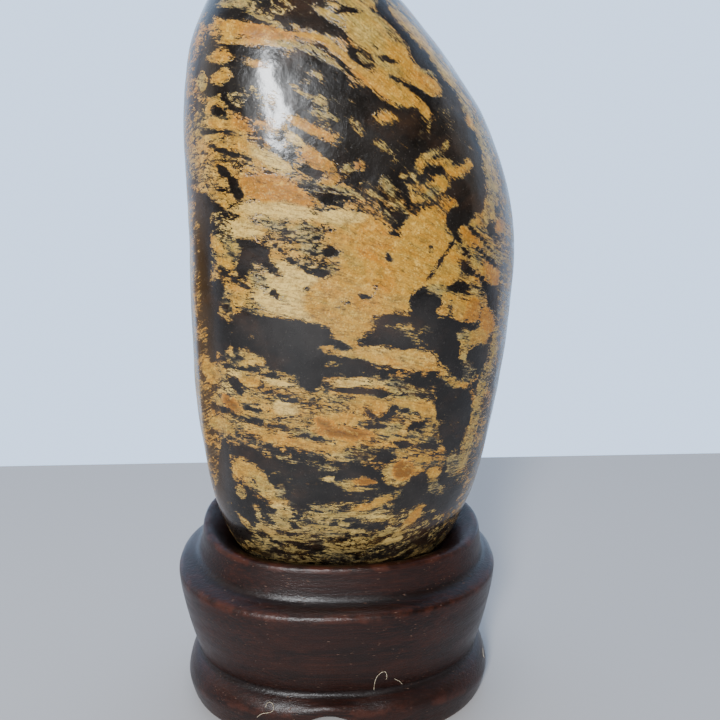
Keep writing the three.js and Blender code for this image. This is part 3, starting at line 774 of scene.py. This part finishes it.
def polished_pebble():
    n = Nodes("polished_pebble")
    split = n.add("ShaderNodeSeparateXYZ")
    n.join(n.attribute("mineral", "Vector"), split.inputs[0])
    cover, warm, pale = split.outputs
    # Where the mineral ends: the painted cover, broken up by textures, most drawn out along the beds.
    beds = n.attribute("beds", "Vector")
    ragged = n.noise(n.places, 420, 3, 0.6, output="Color")
    shake = n.add("ShaderNodeVectorMath", operation="MULTIPLY_ADD")
    n.join(ragged, shake.inputs[0])
    shake.inputs[1].default_value = (1.1, 0.8, 0.8)
    n.join(beds, shake.inputs[2])
    beds = shake.outputs[0]
    broad = n.noise(n.stretched(beds, (0.06, 0.17, 0.08)), 1.0, 4, 0.62, 0.4)
    streak = n.noise(n.stretched(beds, (0.17, 0.58, 0.3), (7, 3, 1)), 1.0, 5, 0.64, 0.6)
    hair = n.noise(n.stretched(beds, (0.5, 1.9, 0.9), (2, 9, 5)), 1.0, 4, 0.66, 0.3)
    grit = n.noise(n.places, 1200, 3, 0.7)
    blotch = n.noise(n.places, 330, 5, 0.66)
    edge = cover
    for texture, amount in ((broad, 1.4), (streak, 2.3), (hair, 1.55), (blotch, 1.2), (grit, 0.7)):
        edge = n.nudged(edge, texture, amount)

    # Hairline seams: dark ones through the gold, gold ones through the black.
    seam_one = n.noise(n.stretched(beds, (0.08, 0.4, 0.2), (4, 8, 2)), 1.0, 4, 0.6, 0.3)
    seam_two = n.noise(n.stretched(beds, (0.2, 0.9, 0.4), (1, 6, 3)), 1.0, 4, 0.6, 0.3)
    seam_one = n.spread(n.from_middle(seam_one), 0.024, 0.006)
    seam_two = n.spread(n.from_middle(seam_two), 0.03, 0.008)
    seams = n.math("MAXIMUM", seam_one, seam_two)
    broken = n.spread(blotch, 0.4, 0.56)
    seams = n.math("MULTIPLY", seams, broken)
    into_gold = n.math("MULTIPLY", seams, n.spread(cover, 0.78, 0.45, 0.12, 1.0))
    into_dark = n.math("MULTIPLY", seams, n.spread(cover, 0.0, -0.25))
    edge = n.math("MULTIPLY_ADD", into_gold, n.spread(cover, -0.1, 0.1, 0.0, -1.1), edge)
    edge = n.math("MULTIPLY_ADD", into_dark, n.spread(cover, -1.1, -0.6, 0.0, 0.6), edge)
    gold = n.spread(edge, -0.06, 0.14)
    fringe = n.spread(edge, -0.42, 0.02)

    # The mineral's colour: from grey green to rust by its warmth, then veiled with cream.
    drift = n.noise(n.stretched(beds, (0.09, 0.2, 0.1), (5, 5, 5)), 1.0, 4, 0.6)
    warmth = n.nudged(n.nudged(warm, drift, 0.6), streak, 0.35)
    ramp = n.add("ShaderNodeValToRGB")
    n.join(warmth, ramp.inputs[0])
    stops = [
        (0.0, "706b50"), (0.25, "8c7838"), (0.45, "b0812a"), (0.6, "b07218"),
        (0.78, "925c18"), (1.0, "6e4204"),
    ]
    elements = ramp.color_ramp.elements
    while len(elements) < len(stops):
        elements.new(0.5)
    for element, (place, code) in zip(elements, stops):
        element.position = place
        element.color = tint(code)
    colour = ramp.outputs["Color"]
    veil = n.noise(n.stretched(beds, (0.3, 0.8, 0.5), (1, 4, 8)), 1.0, 4, 0.6)
    paleness = n.nudged(pale, veil, 1.0)
    colour = n.blend(n.math("MULTIPLY", n.spread(paleness, 0.3, 1.0), 0.85), colour, tint("d9b868"))
    # Thin brown layers, mottling, sugary crystals, partly painted as glints, and dark veins in the mineral.
    layers = n.noise(n.stretched(beds, (0.4, 1.6, 0.8), (3, 3, 6)), 1.0, 5, 0.66)
    depth = n.math("MULTIPLY", n.spread(layers, 0.56, 0.38), 0.45)
    colour = n.blend(depth, colour, tint("6e4a1a"))
    mottle = n.noise(n.places, 520, 4, 0.7)
    colour = n.blend(n.math("MULTIPLY", n.spread(mottle, 0.5, 0.3), 0.6), colour, tint("6a5222"))
    colour = n.blend(n.math("MULTIPLY", n.spread(mottle, 0.52, 0.72), 0.5), colour, tint("e4b856"))
    sugar = n.cells(n.places, 3000)
    crystals = n.cells(n.places, 3000, output="Color")
    grains = n.add("ShaderNodeSeparateColor")
    n.join(crystals, grains.inputs[0])
    # Pale crystal grains: partly the crystals' own colour, partly a painted glint.
    sparkle = n.spread(warmth, 0.85, 0.6, 0.06, 0.26)
    pale_grains_and_glints = n.math("MULTIPLY", n.spread(grains.outputs[0], 0.7, 0.98), sparkle)
    colour = n.blend(pale_grains_and_glints, colour, tint("e2be68"))
    dull = n.math("MULTIPLY", n.spread(grains.outputs[1], 0.62, 0.95), 0.38)
    colour = n.blend(dull, colour, tint("74501e"))
    vein = n.noise(n.stretched(beds, (0.1, 0.5, 0.2), (4, 1, 2)), 1.0, 5, 0.6)
    vein = n.spread(n.from_middle(vein), 0.022, 0.004)
    vein = n.math("MULTIPLY", vein, n.spread(veil, 0.4, 0.6))
    colour = n.blend(n.math("MULTIPLY", vein, 0.7), colour, tint("3a2a1c"))

    # Painted shade: duller, greyer and darker toward the foot. The flanks are browner and less glossy.
    spot = n.add("ShaderNodeSeparateXYZ")
    n.join(n.places, spot.inputs[0])
    painted_foot_shade = n.math("MULTIPLY", n.spread(spot.outputs["Z"], 0.074, 0.05), 0.75)
    # Painted shade: a dim grey blend toward the foot.
    colour = n.blend(painted_foot_shade, colour, tint("665a40"))
    off_middle = n.math("ABSOLUTE", n.math("SUBTRACT", spot.outputs["X"], 0.0045))
    flank = n.spread(off_middle, 0.033, 0.045)

    # The black ground: hazy, brown in places, specked with dust, mossy where the mineral thins out.
    haze = n.noise(n.places, 90, 4, 0.6)
    night = n.blend(n.spread(haze, 0.35, 0.7), tint("0d0906"), tint("201c19"))
    brown = n.noise(n.stretched(n.places, (70, 70, 90), (1, 2, 3)), 1.0, 4, 0.6)
    night = n.blend(n.math("MULTIPLY", n.spread(brown, 0.5, 0.75), 0.6), night, tint("38261a"))
    dust = n.math("MULTIPLY", n.spread(n.noise(n.places, 2200, 2), 0.62, 0.8), 0.35)
    night = n.blend(dust, night, tint("5c5650"))
    mossy = n.blend(n.spread(drift, 0.42, 0.6), tint("5a5340"), tint("5e4420"))
    night = n.blend(n.math("MULTIPLY", fringe, 0.55), night, mossy)
    base = n.blend(gold, night, colour)
    # Browner flanks: partly the stone's own brown, partly a painted reflection of the brown room.
    base = n.blend(n.math("MULTIPLY", flank, 0.35), base, tint("7a5a34"))
    n.join(base, n.shader.inputs["Base Color"])

    # The polish: a dull stone under a glossy coat of wax.
    handling = n.noise(n.places, 130, 4, 0.6)
    rough = n.spread(handling, 0.3, 0.7, 0.2, 0.34)
    rough = n.math("MULTIPLY_ADD", gold, 0.1, rough)
    n.join(rough, n.shader.inputs["Roughness"])
    n.shader.inputs["Specular IOR Level"].default_value = 0.16
    n.join(n.math("MULTIPLY_ADD", flank, -0.5, 0.6), n.shader.inputs["Coat Weight"])
    n.shader.inputs["Coat Roughness"].default_value = 0.135

    # Relief: scratches, crystals and pits under the wax, which itself only follows the dimples.
    scratch = n.noise(n.stretched(n.places, (900, 900, 5200), (0, 0, 0), (0.3, 0.5, 0.2)), 1.0, 2)
    scratch_two = n.noise(n.stretched(n.places, (5200, 900, 900), (0, 0, 0), (0.1, 0.7, 0.4)), 1.0, 2)
    pits = n.spread(n.cells(n.places, 700), 0.16, 0.05)
    few = n.spread(n.noise(n.places, 300, 2), 0.52, 0.62)
    relief = n.math("ADD", n.math("MULTIPLY", scratch, 0.5), n.math("MULTIPLY", scratch_two, 0.4))
    relief = n.math("MULTIPLY_ADD", sugar, n.math("MULTIPLY", gold, 0.5), relief)
    relief = n.math("SUBTRACT", relief, n.math("MULTIPLY", n.math("MULTIPLY", pits, few), 1.2))
    swells = n.noise(n.places, 240, 3, 0.55)
    normal = n.bump(swells, 0.4, 0.5 * MM)
    dimples = n.noise(n.places, 620, 3, 0.6)
    skin = n.bump(n.noise(n.places, 150, 3, 0.5), 0.3, 0.5 * MM)
    skin = n.bump(dimples, 0.3, 0.07 * MM, skin)
    skin = n.bump(gold, 0.3, 0.04 * MM, skin)
    normal = n.bump(dimples, 0.35, 0.14 * MM, normal)
    normal = n.bump(gold, 0.25, 0.05 * MM, normal)
    normal = n.bump(relief, 0.6, 0.08 * MM, normal)
    n.join(normal, n.shader.inputs["Normal"])
    n.join(skin, n.shader.inputs["Coat Normal"])
    return n.material


stone.data.materials.clear()
stone.data.materials.append(polished_pebble())
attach(stone, "root")
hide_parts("stone")


# ---------------------------------------------------------------------------------------------
# Lint: a few pale fibres that lie where they fell, on the stand's bowl, waist and foot. Each
# fibre is a curled hair of cotton.
# ---------------------------------------------------------------------------------------------
FIBRE_THICKNESS = 0.13
FIBRES = [
    [(9.8, 16.2), (9.8, 18.3), (10.1, 21), (11, 23.1), (12.4, 24.1), (13.3, 23.4), (13.5, 21.4),
     (13.3, 20.3)],
    [(-21.5, 12.1), (-21.3, 12.9), (-20.4, 13.3), (-19.2, 12.9), (-19, 11.9), (-19.8, 11), (-21.5, 10.8),
     (-23, 10.2), (-24.1, 8.6)],
    [(-14.3, 8.8), (-13.8, 9.4), (-13.2, 9.3), (-13.2, 8.5), (-14, 8.2)],
    [(15.8, 20), (16.4, 19.3), (17.3, 18.6), (17.8, 17.6), (18.1, 16.9)],
    [(46.4, 11.4), (45.9, 10.9), (46.2, 10.2), (46.6, 9.6)],
]
wood_surface = BVHTree.FromObject(stand, bpy.context.evaluated_depsgraph_get())
lint_parts = []
for points in FIBRES:
    bpy.ops.object.select_all(action="DESELECT")
    bpy.ops.curve.primitive_nurbs_path_add()
    fibre = bpy.context.object
    fibre.data.splines.clear()
    spline = fibre.data.splines.new("NURBS")
    spline.points.add(len(points) - 1)
    spline.use_endpoint_u = True
    spline.order_u = 4
    for k, (x, z) in enumerate(points):
        place, facing, _, _ = wood_surface.ray_cast(Vector((x, -60, z)) * MM, Vector((0, 1, 0)))
        lift = 0.12 + 0.25 * (0.5 + 0.5 * math.sin(2.3 * k))
        place = place + facing * lift * MM
        spline.points[k].co = (*place, 1)
    fibre.data.dimensions = "3D"
    fibre.data.resolution_u = 8
    fibre.data.bevel_depth = FIBRE_THICKNESS / 2 * MM
    fibre.data.bevel_resolution = 1
    fibre.data.use_fill_caps = True
    select_only(fibre)
    bpy.ops.object.convert(target="MESH")
    lint_parts.append(bpy.context.object)
bpy.ops.object.select_all(action="DESELECT")
for part in lint_parts:
    part.select_set(True)
bpy.context.view_layer.objects.active = lint_parts[0]
bpy.ops.object.join()
lint = bpy.context.object
lint.name = "lint"
bpy.ops.object.transform_apply(location=True, rotation=True, scale=True)
for polygon in lint.data.polygons:
    polygon.use_smooth = True


def cotton_lint():
    n = Nodes("cotton_lint")
    twist = n.noise(n.places, 2500, 3)
    n.join(n.blend(n.spread(twist, 0.35, 0.7), tint("9c8c74"), tint("e6d8bc")), n.shader.inputs["Base Color"])
    n.join(n.spread(twist, 0.3, 0.7, 0.6, 0.85), n.shader.inputs["Roughness"])
    n.join(n.bump(twist, 0.4, 0.05 * MM), n.shader.inputs["Normal"])
    return n.material


lint.data.materials.clear()
lint.data.materials.append(cotton_lint())
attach(lint, "root")


# ---------------------------------------------------------------------------------------------
# The room: a pale floor with a pale wall behind, one tall window to the left, a small ceiling
# light and two soft fills, and a camera close in front and above the stand.
# ---------------------------------------------------------------------------------------------
bpy.ops.object.select_all(action="DESELECT")
FLOOR_SIZE = 1.6
FLOOR_BACK_EDGE = 0.165
NEAR_WALLS = (0.115, 0.11, 0.108, 1)
FAR_WALL = (1.15, 1.52, 2.1, 1)
CAMERA_PLACE = (-1.7, -202, 167)
CAMERA_DOWN = 16.5
CAMERA_TURN = -2.5
floor_middle = FLOOR_BACK_EDGE - FLOOR_SIZE / 2
bpy.ops.mesh.primitive_plane_add(size=FLOOR_SIZE, location=(0, floor_middle, cad_box[0].z))
floor = bpy.context.object
floor.name = "floor"
pale = bpy.data.materials.new("pale_floor")
pale.use_nodes = True
pale.node_tree.nodes["Principled BSDF"].inputs["Base Color"].default_value = (0.42, 0.4, 0.39, 1)
pale.node_tree.nodes["Principled BSDF"].inputs["Roughness"].default_value = 0.6
floor.data.materials.append(pale)

world = bpy.data.worlds.new("room")
bpy.context.scene.world = world
world.use_nodes = True
room = world.node_tree
sky = room.nodes["Background"]
around = room.nodes.new("ShaderNodeTexCoord")
parts = room.nodes.new("ShaderNodeSeparateXYZ")
room.links.new(around.outputs["Generated"], parts.inputs[0])
fade = room.nodes.new("ShaderNodeMapRange")
fade.interpolation_type = "SMOOTHSTEP"
fade.inputs["From Min"].default_value = -0.35
fade.inputs["From Max"].default_value = 0.55
room.links.new(parts.outputs["Y"], fade.inputs["Value"])
walls = room.nodes.new("ShaderNodeMix")
walls.data_type = "RGBA"
walls.inputs["A"].default_value = NEAR_WALLS
walls.inputs["B"].default_value = FAR_WALL
room.links.new(fade.outputs["Result"], walls.inputs["Factor"])
room.links.new(walls.outputs["Result"], sky.inputs["Color"])


def soft_light(name, place, target, width, height, power, colour):
    bpy.ops.object.light_add(type="AREA", location=place)
    light = bpy.context.object
    light.name = name
    light.data.shape = "RECTANGLE"
    light.data.size = width
    light.data.size_y = height
    light.data.energy = power
    light.data.color = colour
    light.rotation_euler = (Vector(target) - Vector(place)).to_track_quat("-Z", "Y").to_euler()


middle = (cad_box[0] + cad_box[1]) / 2
soft_light("window", (-0.29, -0.93, 0.56), (-0.015, -0.027, 0.175), 0.17, 0.42, 20, (0.94, 0.97, 1))
soft_light("ceiling", (-0.03, -0.02, 1.1), middle, 0.12, 0.12, 1.5, (1, 0.98, 0.95))
soft_light("left_fill", (-0.9, -0.1, 0.45), middle, 0.5, 0.7, 1.3, (1, 0.88, 0.76))
soft_light("right_fill", (0.9, -0.1, 0.45), middle, 0.5, 0.7, 0.7, (1, 0.88, 0.76))

bpy.ops.object.camera_add(location=[c * MM for c in CAMERA_PLACE])
camera = bpy.context.object
camera.rotation_euler = (math.radians(90 - CAMERA_DOWN), 0, math.radians(CAMERA_TURN))
camera.data.sensor_width = 36
camera.data.lens = 35.7
camera.data.clip_start = 0.01
bpy.context.scene.camera = camera
